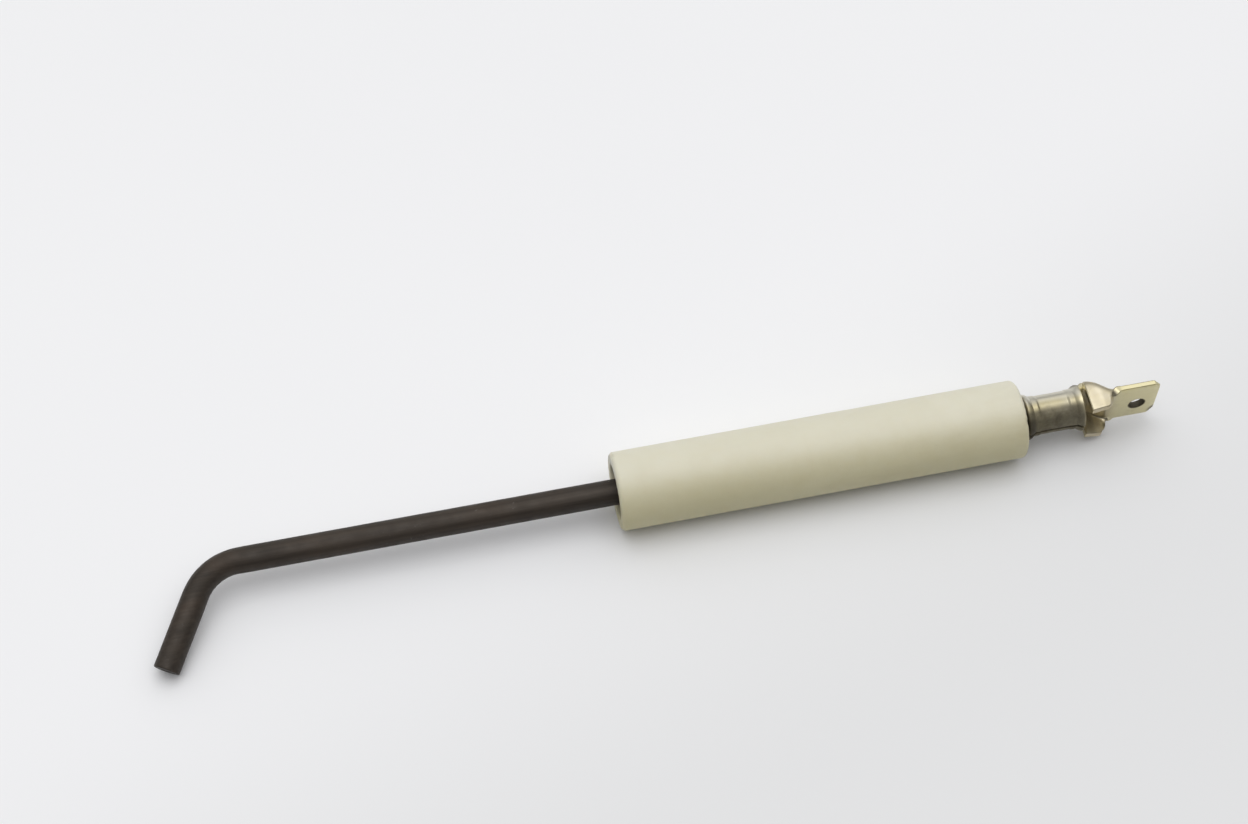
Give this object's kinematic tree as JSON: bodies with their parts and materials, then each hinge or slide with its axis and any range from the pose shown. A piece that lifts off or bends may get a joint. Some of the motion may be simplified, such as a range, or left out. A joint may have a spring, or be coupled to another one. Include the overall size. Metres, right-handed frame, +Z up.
{
  "type": "ignition electrode",
  "caption": "Spark ignition electrode for a burner: a bent round rod through a plain ceramic insulator tube, with a crimped push-on tab at the rear.",
  "frame": {"origin": "on the insulator's axis, half way along the insulator", "axes": "+X along the insulator towards the push-on tab, +Z up with the part lying on a table on its insulator and the tip of its bent rod; the bent leg points to -Y"},
  "size_m": [0.1168, 0.0155, 0.009],
  "materials": {
    "insulator_ceramic": "satin",
    "oxidised_rod": "heat-oxidised, dull",
    "collar_steel": "dull",
    "dark_cement": "rough",
    "pale_cement": "rough",
    "plated_brass": "satin nickel plate"
  },
  "bodies": {
    "root": {"ceramic_insulator": "insulator_ceramic", "electrode_rod": "oxidised_rod", "retaining_collar": "collar_steel", "front_cement": "dark_cement", "rear_cement": "pale_cement", "tab_terminal": "plated_brass"}
  },
  "joints": []
}
